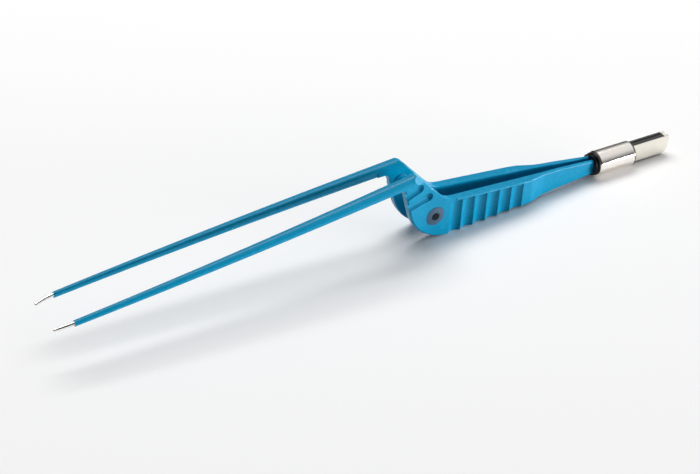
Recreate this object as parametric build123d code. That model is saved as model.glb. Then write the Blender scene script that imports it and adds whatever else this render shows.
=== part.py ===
from build123d import *
from math import asin, atan2, cos, degrees, hypot, radians, sin
import os

# Bayonet bipolar forceps with a flat two-blade plug, in millimetres.
# Two steel arms run from fine bare tips through a bayonet step to finger grips
# and on to thin tails that end in a round plug body. Each arm wears a thin
# insulating coat that stops short of the tip and of the tail's end.
#
# The pieces are drawn in a working frame and stood on the ground at the end.
# Working frame: the plug's axis is X, with X = 0 where the tails enter the front
# ring and the plug towards +X. The tips are towards -X, the bayonet steps up
# towards +Z, and the near arm lies on the -Y side. The far arm mirrors it.

# Plug body
sleeve_front = 2.4
sleeve_length = 14.75
sleeve_diameter = 8.65
sleeve_wall = 0.45
sleeve_front_chamfer = 0.45
sleeve_rear_chamfer = 0.3
press_clearance = 0.03

# Front ring that closes the sleeve round the tails
ring_diameter = 7.95
ring_bore = 6.8
ring_lip = 1.9
ring_insert = 2.2
ring_front_bead = 0.75
ring_bead_step = 0.2
ring_bead_height = 0.42

# Resin behind the ring, and the plastic core behind the resin
resin_front = 0.8
core_front = 6.4
core_flange_diameter = 8.0
core_flange = 0.6

# Contact blades and the strip between them
blade_length = 16.05
blade_height = 6.72
blade_thickness = 1.1
blade_neck_height = 4.9
blade_top_radius = 0.7
blade_bottom_radius = 2.6
strip_thickness = 1.15
strip_height = 6.2
strip_setback = 1.6

# Tail of each arm, seen from the side and from above
tail_top = 2.55
tail_bottom = 2.65
tail_inner = 0.55
tail_thickness = 1.45
coat_end = 0.5
tongue_length = 4.6
tongue_top = 2.0
flex_from_front = 2.2
slot_clearance = 0.22

# Coat
coat_thickness = 0.3
outer_rim_radius = 0.6
inner_rim_radius = 0.5

# Grip, seen from the side
grip_knee_x = -14.0
grip_knee_z = 4.2
throat_x = -62.1
throat_z = 8.33
throat_radius = 8.0
heel_x = -60.0
heel_bottom = 5.1
heel_front_x = -72.8
heel_radius = 16.5
web_corner_x = -79.4
web_radius = 1.6
grip_rear_x = -23.0
grip_rear_bottom = 3.8

# Grip, seen from above
thin_end_x = -17.5
thin_end_outer = 2.95
swell_start_x = -21.5
swell_start_outer = 3.35
swell_end_x = -27.5
swell_end_outer = 4.95
bend_x = -25.0
bend_inner = 1.8
ridge_rear_outer = 5.25
ridge_rear_x = -31.0
ridge_front_x = -60.4
ridge_front_outer = 5.85
heel_outer = 5.5
plate_front_x = -84.0
plate_front_inner = 3.5
plate_front_outer = 7.2
heel_rear_x = -70.2

# Scallops of the finger grip on the outer faces, and grooves across the step
scallop_count = 6
scallop_first_x = -58.45
scallop_pitch = 4.95
scallop_radius = 2.95
scallop_depth = 1.15
scallop_top_margin = 0.7
step_groove_radius = 1.6
step_groove_depth = 1.1
step_grooves = ((-81.0, 14.3, -73.3, 16.3), (-79.5, 10.2, -69.4, 11.8))

# Pocket in each inner face
pocket_front_x = -58.0
pocket_rear_x = -28.0
pocket_depth = 0.5
pocket_front_height = 7.4
pocket_front_z = 1.1
pocket_rear_height = 4.2
pocket_rear_z = 1.0

# Bayonet step and shank
step_corner_x = -74.96
step_corner_z = 21.88
step_corner_radius = 3.2
slant_start = 5.6
slant_angle = 50.0
shank_start_x = -72.0
shank_bend_x = -76.0
shank_bend_z = 19.92
shank_slope = 0.1075
shank_bow_x = -176.0
shank_bow_y = 7.58
shank_bow_gain = 2.09e-4
shank_height = 3.7
shank_end_height = 1.8
shank_end_x = -191.0
shank_flat_root = 1.13
shank_flat_end = 0.88
shank_station_count = 7

# Bare tip
tip_x = -197.2
tip_y = 6.69
tip_z = 6.65
tip_diameter = 0.8

# Stop in the heel: a plastic bush with a black pin
stop_x = -66.3
stop_z = 3.55
bush_diameter = 6.6
bush_shank_diameter = 4.6
bush_head = 0.35
bush_rim = 0.1
pin_diameter = 2.7
pin_head = 0.2
stop_stand = 0.6
spot_depth = 0.2

# Stop pad inside the bayonet step
pad_x = -74.6
pad_z = 14.5
pad_diameter = 5.0
pad_button_diameter = 3.0
pad_stem_diameter = 2.2
pad_stem_length = 1.1
pad_rim = 0.35
pad_stand = 0.6

# Closing travel
tip_gap_closed = 0.12


# Sizes that follow from the ones above

sleeve_radius = sleeve_diameter / 2
sleeve_rear = sleeve_front + sleeve_length
sleeve_bore_radius = sleeve_radius - sleeve_wall
tongue_inner = tail_inner + coat_thickness
tongue_thickness = tail_thickness - 2 * coat_thickness
tongue_end = coat_end + tongue_length
blade_inner = strip_thickness / 2
blade_outer = blade_inner + blade_thickness
blade_end = sleeve_rear + core_flange + blade_length
far_out = 30.0


def line_at(x, x0, y0, x1, y1):
    """Height at x of the straight line through two points."""
    return y0 + (y1 - y0) * (x - x0) / (x1 - x0)


def grip_top(x):
    """Top edge of the uncoated outline of the grip, with the coat on."""
    return line_at(x, grip_knee_x, grip_knee_z, throat_x, throat_z)


def inner_face(x):
    """Distance of an arm's inner face from the middle plane."""
    if x > bend_x:
        return line_at(x, 0, tail_inner, bend_x, bend_inner)
    return line_at(x, bend_x, bend_inner, plate_front_x, plate_front_inner)


def ridge_face(x):
    """Distance of the ridge crests from the middle plane."""
    return line_at(x, ridge_rear_x, ridge_rear_outer, ridge_front_x, ridge_front_outer)


def heel_face(x):
    """Distance of the heel's outer face from the middle plane."""
    return max(heel_outer, line_at(x, heel_rear_x, heel_outer, plate_front_x, plate_front_outer))


def shank_z(x):
    """Height of the shank's middle line."""
    return shank_bend_z + shank_slope * (x - shank_bend_x)


def shank_y(x):
    """Distance of the shank's middle line from the middle plane."""
    return shank_bow_y - shank_bow_gain * (x - shank_bow_x) ** 2


def shank_size(x):
    """Height of the coated shank's section."""
    return line_at(x, shank_bend_x, shank_height, shank_end_x, shank_end_height)


def revolve_x(points):
    """Turn an outline of (x, radius) points about the plug's axis."""
    outline = make_face(Polyline(*[(x, 0, r) for x, r in points], close=True))
    return revolve(outline, Axis.X, 360)


def box_between(x0, x1, y0, y1, z0, z1):
    """Box between two corners."""
    middle = Pos((x0 + x1) / 2, (y0 + y1) / 2, (z0 + z1) / 2)
    return middle * Box(abs(x1 - x0), abs(y1 - y0), abs(z1 - z0))


def rod_y(x, z, diameter, y0, y1):
    """Round rod along Y between two distances from the middle plane."""
    turned = Plane((x, y0, z), x_dir=(1, 0, 0), z_dir=(0, 1 if y1 > y0 else -1, 0))
    return extrude(turned * Circle(diameter / 2), abs(y1 - y0))


# Plug body

def make_sleeve():
    """Steel tube round the plug body, chamfered at both ends."""
    c0 = sleeve_front_chamfer
    c1 = sleeve_rear_chamfer
    inner = sleeve_bore_radius
    outer = sleeve_radius
    wall = sleeve_wall
    points = (
        (sleeve_front, inner), (sleeve_front, outer - min(c0, wall - 0.05)), (sleeve_front + c0, outer),
        (sleeve_rear - c1, outer), (sleeve_rear, outer - min(c1, wall - 0.05)), (sleeve_rear, inner),
    )
    return revolve_x(points)


def make_front_ring():
    """Black ring with two rounded beads in front of the sleeve."""
    outer = ring_diameter / 2
    seat = sleeve_bore_radius - press_clearance
    bore = ring_bore / 2
    front = sleeve_front - ring_lip
    split = front + ring_front_bead
    base = outer - ring_bead_height
    shoulder = outer - ring_bead_step / 4
    outline = ThreePointArc((front, base), ((front + split) / 2, outer - ring_bead_step), (split, base))
    outline += ThreePointArc((split, base), ((split + sleeve_front) / 2, outer), (sleeve_front, shoulder))
    outline += Polyline(
        (sleeve_front, shoulder), (sleeve_front, seat), (sleeve_front + ring_insert, seat),
        (sleeve_front + ring_insert, bore), (front, bore), (front, base),
    )
    return revolve(Plane.XZ * make_face(outline), Axis.X, 360)


def tongue_slot(side):
    """Space in the resin round one arm's tongue."""
    clear = slot_clearance
    y0 = side * (tongue_inner - clear)
    y1 = side * (tongue_inner + tongue_thickness + clear)
    return box_between(-1, tongue_end + clear, y0, y1, -tongue_top - clear, tongue_top + clear)


def make_resin():
    """Resin plug that fills the sleeve round the tongues."""
    slim = ring_bore / 2 - press_clearance
    full = sleeve_bore_radius - press_clearance
    step = sleeve_front + ring_insert + press_clearance
    points = (
        (resin_front, 0), (resin_front, slim), (step, slim), (step, full),
        (core_front, full), (core_front, 0),
    )
    return revolve_x(points) - tongue_slot(-1) - tongue_slot(1)


def make_core():
    """Plastic core with a window for the blades and a thin rear flange."""
    full = sleeve_bore_radius - press_clearance
    flange = core_flange_diameter / 2
    rear = sleeve_rear + core_flange
    points = (
        (core_front, 0), (core_front, full), (sleeve_rear, full), (sleeve_rear, flange),
        (rear - 0.15, flange), (rear, flange - 0.15), (rear, 0),
    )
    half = blade_neck_height / 2 + press_clearance
    wide = blade_outer + press_clearance
    return revolve_x(points) - box_between(core_front - 1, rear + 1, -wide, wide, -half, half)


def make_near_blade():
    """Flat contact blade with a narrower neck inside the core."""
    x0 = core_front
    x1 = sleeve_rear + core_flange
    neck = blade_neck_height / 2
    half = blade_height / 2
    outline = FilletPolyline(
        (x0, -neck), (x1, -neck), (x1, -half), (blade_end, -half), (blade_end, half), (x1, half),
        (x1, neck), (x0, neck),
        radius=(0, 0, 0, blade_bottom_radius, blade_top_radius, 0, 0, 0), close=True,
    )
    drawn = Plane((0, -blade_inner, 0), x_dir=(1, 0, 0), z_dir=(0, -1, 0)) * make_face(outline)
    blade = extrude(drawn, blade_thickness)
    outer = blade.edges().filter_by_position(Axis.Y, -blade_outer - 0.01, -blade_outer + 0.01)
    return chamfer(outer.filter_by_position(Axis.X, x1 + 0.1, blade_end + 1), 0.12)


def make_strip():
    """Insulating strip between the two blades."""
    x1 = sleeve_rear + core_flange
    thick = strip_thickness / 2 - press_clearance / 2
    inside = box_between(core_front, x1, -thick, thick, -blade_neck_height / 2, blade_neck_height / 2)
    outside = box_between(x1, blade_end - strip_setback, -thick, thick, -strip_height / 2, strip_height / 2)
    return inside + outside


# Arms

def side_outline(inset):
    """Side view of the arm's plate, from the tail's end to the bayonet corner."""
    end_x = coat_end
    heel_drop = (heel_bottom - grip_rear_bottom) * (heel_x - heel_front_x) / (grip_rear_x - heel_x)
    web_x = plate_front_x + 1.0
    step_z = shank_z(step_corner_x) + 0.4
    step_x = line_at(step_z, throat_z, throat_x, step_corner_z, step_corner_x)
    points = (
        (end_x, tail_top), (grip_knee_x, grip_knee_z), (throat_x, throat_z),
        (step_x, step_z), (web_x, shank_z(web_x) + 0.4),
        (web_x, shank_z(web_x) - shank_size(web_x) / 2 + 0.25),
        (web_corner_x, shank_z(web_corner_x) - shank_size(web_corner_x) / 2),
        (heel_front_x, -heel_bottom - heel_drop),
        (grip_rear_x, -grip_rear_bottom), (end_x, -tail_bottom),
    )
    radii = (0, 60, throat_radius, 0.6, 0, 0, web_radius, heel_radius, 60, 0)
    face = make_face(FilletPolyline(*points, radius=radii, close=True))
    if inset > 0:
        face = offset(face, -inset, kind=Kind.INTERSECTION)
    return face


def plan_outline(inset):
    """Plan view of the near arm's plate, drawn with +Y outwards."""
    end_x = coat_end
    points = (
        (end_x, tail_inner + inset), (bend_x, bend_inner + inset), (plate_front_x, plate_front_inner + inset),
        (plate_front_x, plate_front_outer - inset), (heel_rear_x, heel_outer - inset),
        (ridge_front_x, ridge_front_outer - inset), (ridge_rear_x, ridge_rear_outer - inset),
        (swell_end_x, swell_end_outer - inset), (swell_start_x, swell_start_outer - inset),
        (thin_end_x, thin_end_outer - inset), (end_x, tail_inner + tail_thickness - inset),
    )
    radii = (0, 60, 0, 0, 20, 5, 4, 4, 3, 8, 0)
    return make_face(FilletPolyline(*points, radius=radii, close=True))


def rim_edges(plate, outward):
    """Edges where the plate's upright outer or inner faces meet its top, bottom and ends."""
    upright = [face for face in plate.faces() if abs(face.normal_at().Z) < 0.01]
    chosen = [face for face in upright if outward * face.normal_at().Y < -0.3]
    edges = [edge for face in chosen for edge in face.edges()]
    spans = [edge.bounding_box() for edge in edges]
    return [e for e, box in zip(edges, spans) if box.max.X - box.min.X > 0.001 and box.min.X > plate_front_x + 0.9]


def plate_form(inset):
    """Plate of the near arm: its side view met by its plan view, with rounded rims."""
    side = extrude(Plane.XZ * side_outline(inset), far_out)
    mirrored = Plane((0, 0, -far_out), x_dir=(1, 0, 0), z_dir=(0, 0, 1)) * mirror(plan_outline(inset), Plane.XZ)
    plate = side & extrude(mirrored, 2 * far_out)
    plate = fillet(rim_edges(plate, 1), outer_rim_radius - inset)
    return fillet(rim_edges(plate, -1), inner_rim_radius - inset)


def shank_section(x, inset):
    """Section of the shank: full round outside, flattened inside."""
    size = shank_size(x) - 2 * inset
    half = size / 2
    centre = Plane((x, -shank_y(x), shank_z(x)), x_dir=(0, -1, 0), z_dir=(-1, 0, 0))
    flat = half * line_at(x, shank_bend_x, shank_flat_root, shank_end_x, shank_flat_end)
    corner = size * 0.3
    outline = Polyline((0, half), (-flat + corner, half))
    outline += ThreePointArc(
        (-flat + corner, half),
        (-flat + corner * (1 - cos(radians(45))), half - corner * (1 - sin(radians(45)))),
        (-flat, half - corner),
    )
    outline += Line((-flat, half - corner), (-flat, -half + corner))
    outline += ThreePointArc(
        (-flat, -half + corner),
        (-flat + corner * (1 - cos(radians(45))), -half + corner * (1 - sin(radians(45)))),
        (-flat + corner, -half),
    )
    outline += Line((-flat + corner, -half), (0, -half))
    outline += ThreePointArc((0, -half), (half, 0), (0, half))
    return centre * make_face(outline)


def corner_outline(inset):
    """Side view that rounds the shank off at the bayonet's upper rear corner."""
    front_x = shank_end_x - 10
    top_z = step_corner_z + 0.6 * shank_slope * (front_x - step_corner_x)
    points = (
        (throat_x, throat_z), (step_corner_x, step_corner_z), (front_x, top_z), (front_x, -20), (throat_x, -20),
    )
    face = make_face(FilletPolyline(*points, radius=(0, step_corner_radius, 0, 0, 0), close=True))
    return offset(face, -inset, kind=Kind.INTERSECTION) if inset > 0 else face


def slant_cutter(inset):
    """Block that slants the shank's outer side off towards the bayonet's rear edge."""
    run = atan2(step_corner_z - throat_z, step_corner_x - throat_x)
    along = Vector(cos(run), 0, sin(run))
    rearward = Vector(sin(run), 0, -cos(run))
    slant = radians(slant_angle)
    normal = rearward * cos(slant) + Vector(0, -1, 0) * sin(slant)
    start = Vector(step_corner_x, -slant_start, step_corner_z) - normal * inset
    return extrude(Plane(start, x_dir=along, z_dir=normal) * Rectangle(80, 80), 40)


def shank_form(inset, end_x):
    """Tapered and slightly bowed shank of the near arm."""
    stations = [
        shank_start_x + (end_x - shank_start_x) * i / (shank_station_count - 1)
        for i in range(shank_station_count)
    ]
    rod = loft([shank_section(x, inset) for x in stations])
    return rod & extrude(Plane.XZ * corner_outline(inset), far_out) - slant_cutter(inset)


def scallop_cutter(x, inset):
    """Upright round cutter for one scallop of the grip, ended above by a slanted plane."""
    radius = scallop_radius + inset
    face = ridge_face(x)
    top = grip_top(x) - scallop_top_margin
    round_bar = Pos(x, -(face - scallop_depth + scallop_radius), 0) * Cylinder(radius, 2 * far_out)
    slant = Vector(0, -1, -1).normalized()
    below = Plane(Vector(x, -face, top) - slant * inset, z_dir=slant)
    return round_bar & extrude(below * Rectangle(2 * far_out, 2 * far_out), 2 * far_out)


def heel_cutter(inset):
    """Thin wedge that sets the heel's face back behind the first scallop."""
    clear_y = -far_out
    face_y = inset - heel_outer
    rear_x = scallop_first_x + inset
    front_x = heel_rear_x + 1
    outline = Polyline((rear_x, clear_y), (rear_x, face_y), (front_x, face_y), (front_x, clear_y), close=True)
    return extrude(Plane((0, 0, -far_out), z_dir=(0, 0, 1)) * make_face(outline), 2 * far_out)


def step_cutter(x0, z0, x1, z1, inset):
    """Round-ended cutter for one groove across the bayonet step."""
    radius = step_groove_radius + inset
    lift = step_groove_radius - step_groove_depth
    start = Vector(x0, -heel_face(x0) - lift, z0)
    end = Vector(x1, -heel_face(x1) - lift, z1)
    run = end - start
    return extrude(Plane(start, z_dir=run) * Circle(radius), run.length) + Pos(*end) * Sphere(radius)


def pocket_cutter(inset):
    """Long tapering recess in the inner face."""
    front = pocket_front_height / 2
    rear = pocket_rear_height / 2
    outline = Polyline(
        (pocket_rear_x, pocket_rear_z - rear), (pocket_rear_x, pocket_rear_z + rear),
        (pocket_front_x, pocket_front_z + front), (pocket_front_x, pocket_front_z - front), close=True,
    )
    face = fillet(make_face(outline).vertices(), rear * 0.95)
    if inset > 0:
        face = offset(face, inset)
    floor = inner_face(pocket_rear_x) + pocket_depth + inset
    turn = degrees(atan2(inner_face(pocket_front_x) - inner_face(pocket_rear_x), pocket_rear_x - pocket_front_x))
    along = (cos(radians(turn)), sin(radians(turn)), 0)
    inward = (-sin(radians(turn)), cos(radians(turn)), 0)
    plane = Plane((pocket_rear_x, -floor, 0), x_dir=along, z_dir=inward)
    drawn = plane * (Pos(-pocket_rear_x, 0) * face)
    return extrude(drawn, 3)


def stop_hole():
    """Through hole for the bush in the heel."""
    return rod_y(stop_x, stop_z, bush_shank_diameter + 2 * press_clearance, 0, -far_out)


def arm_form(inset, end_x):
    """Near arm's solid form, set in by the coat's thickness for the steel."""
    form = plate_form(inset) + shank_form(inset, end_x)
    form -= heel_cutter(inset)
    for i in range(scallop_count):
        form -= scallop_cutter(scallop_first_x + i * scallop_pitch, inset)
    for x0, z0, x1, z1 in step_grooves:
        form -= step_cutter(x0, z0, x1, z1, inset)
    return form - pocket_cutter(inset) - stop_hole()


def make_near_tip():
    """Bare tip: a slim round taper that toes in, with a rounded end."""
    start_x = shank_end_x + 2
    start = Plane((start_x, -shank_y(start_x), shank_z(start_x)), z_dir=(-1, 0, 0))
    neck = shank_size(shank_end_x) - 2 * coat_thickness
    ball = tip_diameter / 2
    end = Plane((tip_x + ball, -tip_y, tip_z), z_dir=(-1, 0, 0))
    middle_x = (shank_end_x + tip_x) / 2
    middle_y = shank_y(shank_end_x) + (tip_y - shank_y(shank_end_x)) * 0.38
    middle = Plane((middle_x, -middle_y, shank_z(middle_x)), z_dir=(-1, 0, 0))
    shaft = loft([start * Circle(neck / 2 - 0.02), middle * Circle(neck / 2 - 0.03), end * Circle(ball)])
    return shaft + Pos(tip_x + ball, -tip_y, tip_z) * Sphere(ball)


def make_near_tongue():
    """Bare end of the tail, which sits in the resin."""
    y0 = -tongue_inner
    y1 = -(tongue_inner + tongue_thickness)
    root = coat_end - 3 * coat_thickness
    return box_between(root, tongue_end, y0, y1, -tongue_top, tongue_top)


def make_near_arm():
    """Steel arm from the bare tip to the tongue."""
    steel = arm_form(coat_thickness, shank_end_x) + make_near_tip() + make_near_tongue()
    return steel - stop_spot() - pad_seat()


def make_near_coat(steel):
    """Coat over the whole arm, ending short of the tip and the tongue."""
    return arm_form(0, shank_end_x) - steel - stop_spot() - pad_seat()


# Stops

def outer_heel_plane():
    """Distance of the bush's head seat from the middle plane."""
    return heel_face(stop_x) - spot_depth


def stop_spot():
    """Shallow round seat for the head of the bush."""
    return rod_y(stop_x, stop_z, bush_diameter + 4 * press_clearance, -outer_heel_plane(), -far_out)


def make_near_bush():
    """Grey bush with a low coned head outside and a stop face inside."""
    seat = outer_heel_plane()
    neck = bush_shank_diameter / 2
    face = heel_face(stop_x) + bush_head
    inner = inner_face(stop_x) - stop_stand
    head = bush_diameter / 2
    profile = Polyline(
        (0, inner), (neck, inner), (neck, seat), (head, seat),
        (head, seat + spot_depth + bush_rim), (pin_diameter / 2 + 0.4, face), (0, face), close=True,
    )
    plane = Plane((stop_x, 0, stop_z), x_dir=(1, 0, 0), z_dir=(0, 0, 1))
    body = revolve(plane * mirror(make_face(profile), Plane.XZ), Axis((stop_x, 0, stop_z), (0, 1, 0)), 360)
    return body - rod_y(stop_x, stop_z, pin_diameter + 2 * press_clearance, 0, -far_out)


def make_near_pin():
    """Black pin through the bush, domed outside."""
    outer = heel_face(stop_x) + bush_head + pin_head
    pin = rod_y(stop_x, stop_z, pin_diameter, -(inner_face(stop_x) - stop_stand), -outer)
    return fillet(pin.edges().sort_by(Axis.Y)[0], pin_head)


def pad_seat():
    """Shallow seat and blind stem hole for the pad inside the bayonet step."""
    face = inner_face(pad_x)
    seat = rod_y(pad_x, pad_z, pad_diameter + 4 * press_clearance, 0, -(face + spot_depth))
    stem = rod_y(pad_x, pad_z, pad_stem_diameter + 2 * press_clearance, 0, -(face + pad_stem_length + 0.1))
    return seat + stem


def make_near_pad():
    """Round stop pad with a raised button and a stem."""
    face = inner_face(pad_x)
    base = face + spot_depth
    profile = Polyline(
        (0, face - pad_stand), (pad_button_diameter / 2, face - pad_stand),
        (pad_button_diameter / 2, face - pad_rim), (pad_diameter / 2 - 0.3, face - pad_rim),
        (pad_diameter / 2, face - pad_rim + 0.3), (pad_diameter / 2, base),
        (pad_stem_diameter / 2, base), (pad_stem_diameter / 2, face + pad_stem_length),
        (0, face + pad_stem_length), close=True,
    )
    plane = Plane((pad_x, 0, pad_z), x_dir=(1, 0, 0), z_dir=(0, 0, 1))
    return revolve(plane * mirror(make_face(profile), Plane.XZ), Axis((pad_x, 0, pad_z), (0, 1, 0)), 360)


# Assembly

def far_side(solid):
    """Mirror image of a near piece."""
    return mirror(solid, Plane.XZ)


def build_pieces():
    """All pieces by name, in the working frame."""
    near_arm = make_near_arm()
    near = {
        "arm": near_arm,
        "coat": make_near_coat(near_arm),
        "stop_bush": make_near_bush(),
        "stop_pin": make_near_pin(),
        "stop_pad": make_near_pad(),
        "blade": make_near_blade(),
    }
    pieces = {
        "sleeve": make_sleeve(),
        "front_ring": make_front_ring(),
        "resin_plug": make_resin(),
        "plug_core": make_core(),
        "blade_strip": make_strip(),
    }
    for name, solid in near.items():
        pieces["near_" + name] = solid
        pieces["far_" + name] = far_side(solid)
    return pieces


def stance_tilt():
    """Turn about Y that sets the heels and the sleeve's rear edge on one level."""
    rise = heel_bottom - sleeve_radius
    return degrees(atan2(rise, sleeve_rear - heel_x))


def stand(pieces):
    """Stand the pieces on the ground with the origin under their middle."""
    turned = {name: Rot(0, stance_tilt(), 0) * solid for name, solid in pieces.items()}
    boxes = [solid.bounding_box() for solid in turned.values()]
    middle = (min(b.min.X for b in boxes) + max(b.max.X for b in boxes)) / 2
    ground = min(b.min.Z for b in boxes)
    return {name: Pos(-middle, 0, -ground) * solid for name, solid in turned.items()}, middle, ground


def closing_angle():
    """Turn that brings one tip almost to the middle plane."""
    inner = tip_y - tip_diameter / 2
    reach = hypot(flex_from_front - tip_x, inner)
    return degrees(asin(inner / reach) - asin(tip_gap_closed / 2 / reach))


if __name__ == "__main__":
    os.makedirs("parts", exist_ok=True)
    standing, middle, ground = stand(build_pieces())
    for name, solid in standing.items():
        export_step(solid, "parts/" + name + ".step")
    print("stance", round(stance_tilt(), 4), "middle", round(middle, 4), "ground", round(ground, 4))
    print("closing angle", round(closing_angle(), 3))
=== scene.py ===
"""Looks for a pair of bayonet bipolar forceps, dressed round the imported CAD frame.

The two sprung halves wear a glossy blue nylon coat over steel, with bare polished
tips. The plug body is a satin steel sleeve with a black front ring, a resin face,
a black core and two flat nickel blades. Everything is in metres, in the CAD's frame.
"""
from __future__ import annotations

import logging
import math
from dataclasses import dataclass, field
from enum import Enum
from typing import Any, Iterable

import bmesh
import bpy
from mathutils import Matrix, Vector


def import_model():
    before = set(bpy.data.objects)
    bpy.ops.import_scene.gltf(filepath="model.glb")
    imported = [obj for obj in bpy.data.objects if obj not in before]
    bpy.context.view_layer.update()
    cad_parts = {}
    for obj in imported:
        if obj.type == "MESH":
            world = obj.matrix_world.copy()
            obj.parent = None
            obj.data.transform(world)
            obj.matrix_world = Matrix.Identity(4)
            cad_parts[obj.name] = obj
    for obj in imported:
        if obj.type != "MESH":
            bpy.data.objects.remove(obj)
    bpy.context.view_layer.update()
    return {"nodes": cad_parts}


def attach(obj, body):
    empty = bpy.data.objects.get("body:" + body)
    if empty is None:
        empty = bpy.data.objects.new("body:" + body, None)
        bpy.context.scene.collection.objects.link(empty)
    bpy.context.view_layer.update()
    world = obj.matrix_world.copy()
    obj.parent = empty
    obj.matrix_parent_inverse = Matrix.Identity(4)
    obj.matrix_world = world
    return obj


LOG = logging.getLogger("forceps")
MM = 0.001

# Where the CAD's drawing frame stands in the model: X along the plug's axis, +Y the far side
STANCE_TILT = math.radians(0.57554)
STANCE_MIDDLE_MM = -81.6491
STANCE_GROUND_MM = -4.4991

Triple = tuple[float, float, float]
Span = tuple[float, float]


def stood(along: float, side: float, up: float) -> Vector:
    """Place of a point of the drawing frame.

    Args:
        along: X in the drawing frame, in millimetres.
        side: Y in millimetres.
        up: Z in the drawing frame, in millimetres.

    Returns:
        The point in the model, in metres.
    """
    level, slope = math.cos(STANCE_TILT), math.sin(STANCE_TILT)
    forth = along * level + up * slope - STANCE_MIDDLE_MM
    height = up * level - along * slope - STANCE_GROUND_MM
    return Vector((forth, side, height)) * MM


def between(share: float, first: float, last: float) -> float:
    """Value at a share of the way from first to last."""
    return first + (last - first) * share


def linked_object(name: str, shape: bmesh.types.BMesh, material: bpy.types.Material) -> bpy.types.Object:
    """Turn a finished bmesh into an object of the scene.

    Args:
        name: Name of the object and its mesh.
        shape: The mesh, which is freed.
        material: Its finish.

    Returns:
        The object.
    """
    mesh = bpy.data.meshes.new(name)
    shape.to_mesh(mesh)
    shape.free()
    mesh.materials.append(material)
    made = bpy.data.objects.new(name, mesh)
    bpy.context.scene.collection.objects.link(made)
    return made


class Side(Enum):
    """The two mirror halves of the instrument."""

    NEAR = "near"
    FAR = "far"

    @property
    def body(self) -> str:
        """Name of the CAD body that this half moves with."""
        return self.value + "_half"

    @property
    def sign(self) -> float:
        """Direction of the half along Y: the near half lies on the minus side."""
        return -1.0 if self is Side.NEAR else 1.0

    def node(self, piece: str) -> str:
        """Name of a piece of this half."""
        return f"{self.value}_{piece}"


class Signal:
    """A shader socket that writes Math nodes when it stands in an expression."""

    def __init__(self, graph: "Graph", socket: bpy.types.NodeSocket) -> None:
        """Wrap an output socket.

        Args:
            graph: The node tree that the socket belongs to.
            socket: The output socket.
        """
        self.graph = graph
        self.socket = socket

    def _maths(self, operation: str, first: Any, second: Any) -> "Signal":
        """Write one Math node.

        Args:
            operation: Blender's name of the operation.
            first: First operand, a number or a signal.
            second: Second operand, a number or a signal.

        Returns:
            The node's value.
        """
        return self.graph.add("ShaderNodeMath", {"operation": operation}, {0: first, 1: second})

    def __add__(self, other: Any) -> "Signal":
        """Sum of this and another value."""
        return self._maths("ADD", self, other)

    __radd__ = __add__

    def __mul__(self, other: Any) -> "Signal":
        """Product of this and another value."""
        return self._maths("MULTIPLY", self, other)

    __rmul__ = __mul__

    def __sub__(self, other: Any) -> "Signal":
        """This value less another."""
        return self._maths("SUBTRACT", self, other)

    def __rsub__(self, other: Any) -> "Signal":
        """Another value less this one."""
        return self._maths("SUBTRACT", other, self)

    def clear(self, low: float, high: float) -> "Signal":
        """Stretch the range from low to high over 0 to 1, and cut off what is outside.

        Args:
            low: Value that becomes 0.
            high: Value that becomes 1.

        Returns:
            The stretched value.
        """
        inputs = {"From Min": low, "From Max": high, "Value": self}
        return self.graph.add("ShaderNodeMapRange", {"clamp": True}, inputs)


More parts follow.
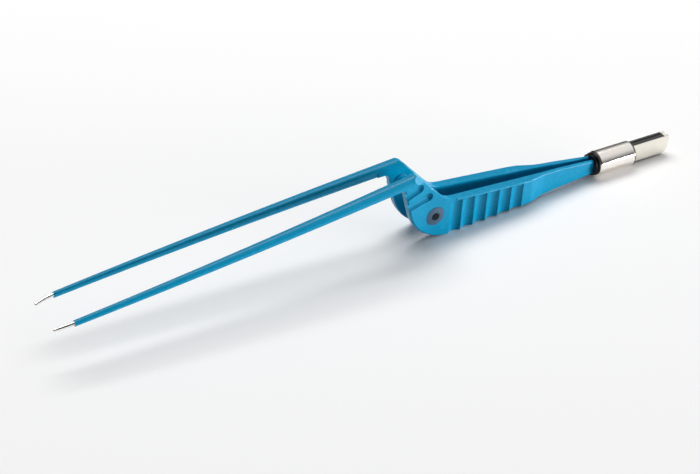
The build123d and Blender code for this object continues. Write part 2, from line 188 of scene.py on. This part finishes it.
class Graph:
    """Node tree of one finish or of the sky, built by one method."""

    def __init__(self, owner: bpy.types.Material | bpy.types.World) -> None:
        """Open the node tree of a material or a world.

        Args:
            owner: What the nodes shade.
        """
        owner.use_nodes = True
        self.tree = owner.node_tree

    def add(
        self,
        kind: str,
        settings: dict[str, Any] | None = None,
        inputs: dict[Any, Any] | None = None,
        output: str | int = 0,
    ) -> Signal:
        """Add a node of any type.

        Args:
            kind: Blender's type name of the node.
            settings: Properties that are set before the sockets.
            inputs: Values or signals by socket name or number.
            output: Name or number of the output that is used.

        Returns:
            The chosen output.
        """
        node = self.tree.nodes.new(kind)
        for name, value in (settings or {}).items():
            setattr(node, name, value)
        for name, value in (inputs or {}).items():
            self.feed(node.inputs[name], value)
        return Signal(self, node.outputs[output])

    def feed(self, socket: bpy.types.NodeSocket, value: Any) -> None:
        """Link a signal to a socket, or set the socket's own value.

        Args:
            socket: The input socket.
            value: A signal, a number or a colour of three shares.
        """
        if isinstance(value, Signal):
            self.tree.links.new(value.socket, socket)
        elif socket.type == "RGBA":
            socket.default_value = (*value, 1.0)
        else:
            socket.default_value = value

    def axes(self, vector: Signal) -> tuple[Signal, ...]:
        """X, Y and Z of a vector.

        Args:
            vector: The vector.

        Returns:
            One signal for each axis.
        """
        split = self.add("ShaderNodeSeparateXYZ", None, {0: vector})
        return tuple(Signal(self, output) for output in split.socket.node.outputs)

    def blend(self, factor: Any, first: Any, second: Any) -> Signal:
        """Mix two colours.

        Args:
            factor: Share of the second colour.
            first: Colour at 0.
            second: Colour at 1.

        Returns:
            The mixed colour.
        """
        return self.add("ShaderNodeMix", {"data_type": "RGBA"}, {0: factor, 6: first, 7: second}, 2)

    def place(self) -> Signal:
        """Object coordinates."""
        return self.add("ShaderNodeTexCoord", output="Object")

    def noise(self, per_mm: float, detail: float = 3.0, stretch: Triple = (1.0, 1.0, 1.0)) -> Signal:
        """Noise between 0 and 1.

        Args:
            per_mm: How many features fit in a millimetre.
            detail: Octaves of the noise.
            stretch: Factor along each axis, where under 1 draws the noise out.

        Returns:
            The noise value.
        """
        where = self.add("ShaderNodeVectorMath", {"operation": "MULTIPLY"}, {0: self.place(), 1: stretch})
        inputs = {"Vector": where, "Scale": per_mm / MM, "Detail": detail}
        return self.add("ShaderNodeTexNoise", {"noise_dimensions": "3D"}, inputs, "Fac")

    def bump(self, height: Any, strength: float, depth_mm: float) -> Signal:
        """Bump from a height value.

        Args:
            height: Height between 0 and 1.
            strength: Strength of the node.
            depth_mm: Depth that a height of 1 stands for.

        Returns:
            The changed normal.
        """
        inputs = {"Strength": strength, "Distance": depth_mm * MM, "Height": height}
        return self.add("ShaderNodeBump", None, inputs, "Normal")


@dataclass(frozen=True)
class Finish:
    """What all finishes share: a name, a colour and a gloss."""

    name: str
    colour: Triple
    roughness: float
    metallic: float = 0.0
    shine: float = 0.5

    def material(self) -> bpy.types.Material:
        """Make the material.

        Returns:
            The finished material.
        """
        made = bpy.data.materials.new(self.name)
        graph = Graph(made)
        shader = graph.tree.nodes["Principled BSDF"]
        sockets = {"Metallic": self.metallic, "Specular IOR Level": self.shine, **self.surface(graph)}
        for name, value in sockets.items():
            graph.feed(shader.inputs[name], value)
        return made

    def surface(self, graph: Graph) -> dict[str, Any]:
        """Sockets that vary over the surface, each kind of finish with its own.

        Args:
            graph: The material's node tree.

        Returns:
            Values or signals by socket name.
        """
        raise NotImplementedError(self.name)


@dataclass(frozen=True)
class MattPaint(Finish):
    """Even matt paint with a faintly uneven gloss."""

    clouds_per_mm: float = 0.8
    cloud_dulling: float = 0.08

    def surface(self, graph: Graph) -> dict[str, Any]:
        """Plain colour and clouded gloss.

        Args:
            graph: The material's node tree.

        Returns:
            Values or signals by socket name.
        """
        cloud = graph.noise(self.clouds_per_mm)
        return {"Base Color": self.colour, "Roughness": self.roughness + self.cloud_dulling * (cloud - 0.5)}


@dataclass(frozen=True)
class NylonCoat(Finish):
    """Glossy dipped nylon: even blue with faint clouds, a fine grain and orange peel."""

    pale: Triple = (0.0, 0.33, 0.56)
    clouds_per_mm: float = 0.35
    cloud_span: Span = (0.40, 0.72)
    cloud_share: float = 0.18
    cloud_dulling: float = 0.10
    grain_per_mm: float = 2.2
    grain_span: Span = (0.45, 0.75)
    grain_share: float = 0.12
    peel_per_mm: float = 1.1
    peel_strength: float = 0.08
    peel_depth_mm: float = 0.012

    def surface(self, graph: Graph) -> dict[str, Any]:
        """Clouded colour, uneven gloss and a fine orange peel.

        Args:
            graph: The material's node tree.

        Returns:
            Values or signals by socket name.
        """
        cloud = graph.noise(self.clouds_per_mm, detail=4.0).clear(*self.cloud_span)
        grain = graph.noise(self.grain_per_mm, detail=2.0).clear(*self.grain_span)
        peel = graph.noise(self.peel_per_mm, detail=2.0)
        paleness = self.cloud_share * cloud + self.grain_share * grain
        return {
            "Base Color": graph.blend(paleness, self.colour, self.pale),
            "Roughness": self.roughness + self.cloud_dulling * cloud,
            "Normal": graph.bump(peel, self.peel_strength, self.peel_depth_mm),
        }


@dataclass(frozen=True)
class TurnedSteel(Finish):
    """Satin steel with fine turning lines round the X axis and a few handling marks."""

    lines_per_mm: float = 9.0
    drawn_out: Triple = (1.0, 0.02, 0.02)
    line_dulling: float = 0.06
    line_strength: float = 0.08
    line_depth_mm: float = 0.004
    marks_per_mm: float = 1.2
    mark_span: Span = (0.50, 0.75)
    mark_share: float = 0.25
    mark_shade: float = 0.86
    mark_dulling: float = 0.05

    def surface(self, graph: Graph) -> dict[str, Any]:
        """Turning lines in gloss and relief, and darker, duller marks.

        Args:
            graph: The material's node tree.

        Returns:
            Values or signals by socket name.
        """
        lines = graph.noise(self.lines_per_mm, detail=2.0, stretch=self.drawn_out)
        marks = graph.noise(self.marks_per_mm, detail=5.0).clear(*self.mark_span)
        dull = tuple(self.mark_shade * share for share in self.colour)
        return {
            "Base Color": graph.blend(self.mark_share * marks, self.colour, dull),
            "Roughness": self.roughness + self.line_dulling * (lines - 0.5) + self.mark_dulling * marks,
            "Normal": graph.bump(lines, self.line_strength, self.line_depth_mm),
        }


@dataclass(frozen=True)
class RolledMetal(Finish):
    """Flat or drawn metal with fine lines along X."""

    stain: Triple = (0.62, 0.58, 0.46)
    lines_per_mm: float = 12.0
    drawn_out: Triple = (0.02, 1.0, 1.0)
    line_dulling: float = 0.10
    line_strength: float = 0.2
    line_depth_mm: float = 0.005
    stains_per_mm: float = 0.5
    stain_span: Span = (0.45, 0.80)
    stain_share: float = 0.35
    stain_dulling: float = 0.06

    def surface(self, graph: Graph) -> dict[str, Any]:
        """Drawn lines and a faint warm stain.

        Args:
            graph: The material's node tree.

        Returns:
            Values or signals by socket name.
        """
        lines = graph.noise(self.lines_per_mm, detail=2.0, stretch=self.drawn_out)
        stains = graph.noise(self.stains_per_mm, detail=4.0).clear(*self.stain_span)
        return {
            "Base Color": graph.blend(self.stain_share * stains, self.colour, self.stain),
            "Roughness": self.roughness + self.line_dulling * (lines - 0.5) + self.stain_dulling * stains,
            "Normal": graph.bump(lines, self.line_strength, self.line_depth_mm),
        }


@dataclass(frozen=True)
class SlotShadedBlade(RolledMetal):
    """Metal face on a blade, with painted shade: black, non-metallic paint near the middle plane, as far
    along as the strip reaches, for the dark slot between the blades.
    """

    # Painted shade: the black that the metal blade is painted near the middle plane, for the dark slot
    # between the blades
    core: Triple = (0.010, 0.010, 0.011)
    slot_shade_half_mm: float = 1.47
    slot_shade_end_mm: float = 31.85
    side_fade_mm: float = 0.04
    end_fade_mm: float = 0.1

    def surface(self, graph: Graph) -> dict[str, Any]:
        """Rolled face, and painted shade near the middle plane: black and non-metallic, for the dark slot
        between the blades.

        Args:
            graph: The material's node tree.

        Returns:
            Values or signals by socket name.
        """
        made = super().surface(graph)
        along, across, _ = graph.axes(graph.place())
        slot_shade_edge = self.slot_shade_half_mm * MM
        face_edge = (self.slot_shade_half_mm + self.side_fade_mm) * MM
        outside = (across * across).clear(slot_shade_edge ** 2, face_edge ** 2)
        slot_shade_end = (self.slot_shade_end_mm - STANCE_MIDDLE_MM) * MM
        beyond = along.clear(slot_shade_end, slot_shade_end + self.end_fade_mm * MM)
        # Painted shade: where face is 0, the blade is painted black and loses its metallic gloss
        face = 1.0 - (1.0 - outside) * (1.0 - beyond)
        made["Base Color"] = graph.blend(face, self.core, made["Base Color"])
        made["Metallic"] = face
        return made


@dataclass(frozen=True)
class Moulding(Finish):
    """Moulded plastic or rubber with a fine grain and small scuffs."""

    scuff: Triple = (0.09, 0.09, 0.10)
    grain_per_mm: float = 6.0
    grain_dulling: float = 0.06
    grain_strength: float = 0.25
    grain_depth_mm: float = 0.008
    scuffs_per_mm: float = 1.6
    scuff_span: Span = (0.58, 0.80)
    scuff_share: float = 0.30
    scuff_dulling: float = 0.18

    def surface(self, graph: Graph) -> dict[str, Any]:
        """Fine grain, and scuffs that are paler and duller.

        Args:
            graph: The material's node tree.

        Returns:
            Values or signals by socket name.
        """
        grain = graph.noise(self.grain_per_mm)
        scuffs = graph.noise(self.scuffs_per_mm, detail=5.0).clear(*self.scuff_span)
        return {
            "Base Color": graph.blend(self.scuff_share * scuffs, self.colour, self.scuff),
            "Roughness": self.roughness + self.scuff_dulling * scuffs + self.grain_dulling * (grain - 0.5),
            "Normal": graph.bump(grain, self.grain_strength, self.grain_depth_mm),
        }


COAT = NylonCoat("blue_nylon_coat", (0.0, 0.235, 0.42), roughness=0.22, shine=0.18)
PAD = NylonCoat("blue_stop_pad", (0.0, 0.21, 0.40), roughness=0.25, shine=0.4)
TIP_STEEL = RolledMetal(
    "polished_arm_steel", (0.86, 0.84, 0.80), roughness=0.20, metallic=1.0, stain=(0.80, 0.76, 0.68)
)
SLEEVE_STEEL = TurnedSteel("satin_sleeve_steel", (0.90, 0.85, 0.80), roughness=0.12, metallic=1.0)
# The nickel blades carry painted shade near the middle plane, for the dark slot between them
NICKEL = SlotShadedBlade("nickel_blade", (0.76, 0.73, 0.66), roughness=0.34)
RING = Moulding(
    "black_front_ring", (0.003, 0.003, 0.004), roughness=0.34, shine=0.12, scuff=(0.010, 0.010, 0.012)
)
RESIN = Moulding("blue_grey_resin", (0.030, 0.045, 0.095), roughness=0.25, scuff=(0.09, 0.12, 0.20))
CORE = Moulding("black_core", (0.015, 0.015, 0.016), roughness=0.45)
STRIP = Moulding("black_insulating_strip", (0.014, 0.013, 0.014), roughness=0.40)
BUSH = Moulding(
    "grey_stop_bush", (0.045, 0.090, 0.155), roughness=0.38, shine=0.35, scuff=(0.14, 0.20, 0.28)
)
PIN = Moulding("black_stop_pin", (0.003, 0.005, 0.009), roughness=0.30, shine=0.15, scuff=(0.02, 0.03, 0.04))
LINER = Moulding(
    "dark_pocket_liner", (0.045, 0.045, 0.075), roughness=0.25, scuff=(0.14, 0.15, 0.22), grain_per_mm=3.0
)
FLOOR = MattPaint("pale_floor", (0.95, 0.95, 0.95), roughness=0.9)


class Dresser:
    """Gives CAD nodes their finishes, each finish made once."""

    def __init__(self, nodes: dict[str, bpy.types.Object]) -> None:
        """Keep the frame's nodes.

        Args:
            nodes: CAD objects by node name.
        """
        self.nodes = nodes
        self.made: dict[str, bpy.types.Material] = {}

    def material(self, finish: Finish) -> bpy.types.Material:
        """Material of a finish, made at its first use.

        Args:
            finish: The finish.

        Returns:
            Its one material.
        """
        if finish.name not in self.made:
            self.made[finish.name] = finish.material()
        return self.made[finish.name]

    def dress(self, node: str, finish: Finish) -> None:
        """Put a finish on every material slot of a CAD node.

        Args:
            node: Name of the CAD node.
            finish: The finish that it gets.
        """
        slots = self.nodes[node].data.materials
        material = self.material(finish)
        if not slots:
            slots.append(material)
        for place in range(len(slots)):
            slots[place] = material
        LOG.info("dressed %s in %s", node, finish.name)


@dataclass
class PlugBody:
    """Sleeve, front ring, resin, core and the flat plug behind them."""

    finishes: dict[str, Finish] = field(default_factory=lambda: {
        "sleeve": SLEEVE_STEEL, "front_ring": RING, "resin_plug": RESIN, "plug_core": CORE,
        "blade_strip": STRIP, "near_blade": NICKEL, "far_blade": NICKEL,
    })

    def build(self, dresser: Dresser) -> None:
        """Dress the plug's nodes.

        Args:
            dresser: Holder of the nodes and materials.
        """
        for node, finish in self.finishes.items():
            dresser.dress(node, finish)


@dataclass
class PocketLiner:
    """Dark ribbed liner in the long pocket of an arm's inner face.

    Sizes and places are in millimetres, in the drawing frame. The liner's face lies
    under the arm's inner face by the seat, and its back by the floor.
    """

    side: Side
    front_x: float = -57.7
    rear_x: float = -28.3
    front_height: float = 7.0
    rear_height: float = 3.8
    front_z: float = 1.1
    rear_z: float = 1.0
    front_face: float = 2.75
    rear_face: float = 1.89
    seat: float = 0.28
    floor: float = 0.56
    ridge: float = 0.14
    ridge_count: int = 7
    end_radius: float = 1.7
    end_share: float = 0.45
    points_along: int = 90
    points_per_ridge: int = 8

    def build(self, dresser: Dresser) -> None:
        """Make the liner and seat it in its pocket.

        Args:
            dresser: Holder of the nodes and materials.
        """
        shape = bmesh.new()
        points_across = self.points_per_ridge * self.ridge_count
        bmesh.ops.create_grid(shape, x_segments=self.points_along, y_segments=points_across, size=1.0)
        for vertex in shape.verts:
            vertex.co = self._spot(vertex.co.x, vertex.co.y)
        rim = [edge for edge in shape.edges if edge.is_boundary]
        skirt = bmesh.ops.extrude_edge_only(shape, edges=rim)["geom"]
        sink = (self.floor - self.seat) * self.side.sign * MM
        for vertex in (item for item in skirt if isinstance(item, bmesh.types.BMVert)):
            vertex.co.y += sink
        bmesh.ops.holes_fill(shape, edges=[edge for edge in shape.edges if edge.is_boundary])
        bmesh.ops.recalc_face_normals(shape, faces=shape.faces)
        liner = linked_object(self.side.node("pocket_liner"), shape, dresser.material(LINER))
        liner.data.polygons.foreach_set("use_smooth", [True] * len(liner.data.polygons))
        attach(liner, self.side.body)
        LOG.info("made %s on %s", liner.name, self.side.body)

    def _spot(self, along: float, across: float) -> Vector:
        """Place of a grid point, both coordinates running from -1 to 1.

        Args:
            along: Share of the length, from the front to the rear.
            across: Share of the height.

        Returns:
            The point in the model.
        """
        share = (along + 1.0) / 2.0
        x = between(share, self.front_x, self.rear_x)
        short_of_end = 1.0 - min(min(x - self.front_x, self.rear_x - x) / self.end_radius, 1.0)
        narrowing = between(math.sqrt(1.0 - short_of_end ** 2), self.end_share, 1.0)
        half = between(share, self.front_height, self.rear_height) / 2.0 * narrowing
        rise = self.ridge * (0.5 - 0.5 * math.cos(math.pi * self.ridge_count * (across + 1.0)))
        face = between(share, self.front_face, self.rear_face) + self.seat - rise
        return stood(x, face * self.side.sign, between(share, self.front_z, self.rear_z) + half * across)


@dataclass
class SprungHalf:
    """One coated arm with its stop, its pad and its liner."""

    side: Side
    finishes: dict[str, Finish] = field(default_factory=lambda: {
        "arm": TIP_STEEL, "coat": COAT, "stop_bush": BUSH, "stop_pin": PIN, "stop_pad": PAD,
    })

    def build(self, dresser: Dresser) -> None:
        """Dress this half's nodes and add its liner.

        Args:
            dresser: Holder of the nodes and materials.
        """
        for piece, finish in self.finishes.items():
            dresser.dress(self.side.node(piece), finish)
        PocketLiner(self.side).build(dresser)


@dataclass(frozen=True)
class Softbox:
    """A rectangular soft light and where it hangs."""

    name: str
    place: Triple
    target: Triple
    width: float
    height: float
    power: float

    def build(self) -> None:
        """Hang the light, turned towards its target."""
        light = bpy.data.lights.new(self.name, "AREA")
        light.shape = "RECTANGLE"
        light.size = self.width
        light.size_y = self.height
        light.energy = self.power
        lamp = bpy.data.objects.new(self.name, light)
        bpy.context.scene.collection.objects.link(lamp)
        lamp.location = self.place
        aim = Vector(self.target) - Vector(self.place)
        lamp.rotation_euler = aim.to_track_quat("-Z", "Y").to_euler()


@dataclass
class Studio:
    """Pale floor, sky and soft lights."""

    floor_size: float = 6.0
    left_level: float = 0.08
    right_level: float = 0.85
    front_share: float = 0.1
    window_level: float = 0.95
    back_shade: float = 0.55
    horizon_level: float = 0.03
    # Where the sky's levels change, as shares of a direction along X, Y or Z
    right_across: Span = (-0.15, 0.35)
    behind_depth: Span = (-0.5, -0.1)
    window_left_across: Span = (0.2, 0.4)
    window_right_across: Span = (0.5, 0.75)
    window_sill_height: Span = (0.26, 0.72)
    shade_depth: Span = (0.45, 0.62)
    shade_top_height: Span = (0.58, 0.78)
    horizon_height: Span = (0.12, 0.5)
    lights: tuple[Softbox, ...] = (
        Softbox("key", (1.02, -0.66, 0.045), (0.0, 0.0, 0.012), 0.75, 0.09, 20.0),
        Softbox("overhead", (0.20, 0.70, 1.40), (0.0, 0.0, 0.0), 1.6, 0.8, 21.0),
    )

    def build(self) -> None:
        """Build the floor, the sky and the lights, shown with no film curve."""
        self._floor()
        self._sky()
        for light in self.lights:
            light.build()
        bpy.context.scene.view_settings.view_transform = "Standard"

    def _floor(self) -> None:
        """Lay a plain pale floor under the object."""
        shape = bmesh.new()
        bmesh.ops.create_grid(shape, x_segments=1, y_segments=1, size=self.floor_size / 2)
        linked_object("floor", shape, FLOOR.material())

    def _sky(self) -> None:
        """Light the scene from a sky that is bright on the right, with a dark horizon."""
        world = bpy.data.worlds.new("studio_sky")
        bpy.context.scene.world = world
        graph = Graph(world)
        across, depth, height = graph.axes(graph.add("ShaderNodeTexCoord", output="Generated"))
        behind = depth.clear(*self.behind_depth)
        bright = across.clear(*self.right_across) * (self.front_share + (1.0 - self.front_share) * behind)
        shade = depth.clear(*self.shade_depth) * (1.0 - height.clear(*self.shade_top_height))
        wash = bright * (1.0 - self.back_shade * shade)
        window = across.clear(*self.window_left_across) * (1.0 - across.clear(*self.window_right_across))
        window = window * (1.0 - behind) * height.clear(*self.window_sill_height)
        upper = self.left_level + (self.right_level - self.left_level) * wash + self.window_level * window
        level = self.horizon_level + (upper - self.horizon_level) * height.clear(*self.horizon_height)
        background = graph.tree.nodes["Background"]
        graph.feed(background.inputs["Color"], (1.0, 1.0, 1.0))
        graph.feed(background.inputs["Strength"], level)


@dataclass
class PhotoCamera:
    """Camera at the photograph's place."""

    place: Triple = (-0.24773, -0.36209, 0.32163)
    forward: Triple = (0.439481, 0.677667, -0.589596)
    up: Triple = (0.276013, 0.522745, 0.80657)
    lens_mm: float = 87.516
    sensor_mm: float = 36.0
    nearest: float = 0.01
    farthest: float = 20.0

    def build(self) -> None:
        """Make the camera and hand it to the scene."""
        data = bpy.data.cameras.new("photo_camera")
        data.sensor_width = self.sensor_mm
        data.lens = self.lens_mm
        data.clip_start = self.nearest
        data.clip_end = self.farthest
        camera = bpy.data.objects.new("photo_camera", data)
        bpy.context.scene.collection.objects.link(camera)
        back = -Vector(self.forward).normalized()
        right = Vector(self.up).cross(back).normalized()
        turn = Matrix((right, back.cross(right), back)).transposed()
        camera.matrix_world = Matrix.Translation(self.place) @ turn.to_4x4()
        bpy.context.scene.camera = camera


def main() -> None:
    """Load the frame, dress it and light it."""
    logging.basicConfig(level=logging.INFO, format="%(name)s: %(message)s")
    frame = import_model()
    dresser = Dresser(frame["nodes"])
    PlugBody().build(dresser)
    for side in Side:
        SprungHalf(side).build(dresser)
    Studio().build()
    PhotoCamera().build()


if __name__ == "__main__":
    main()
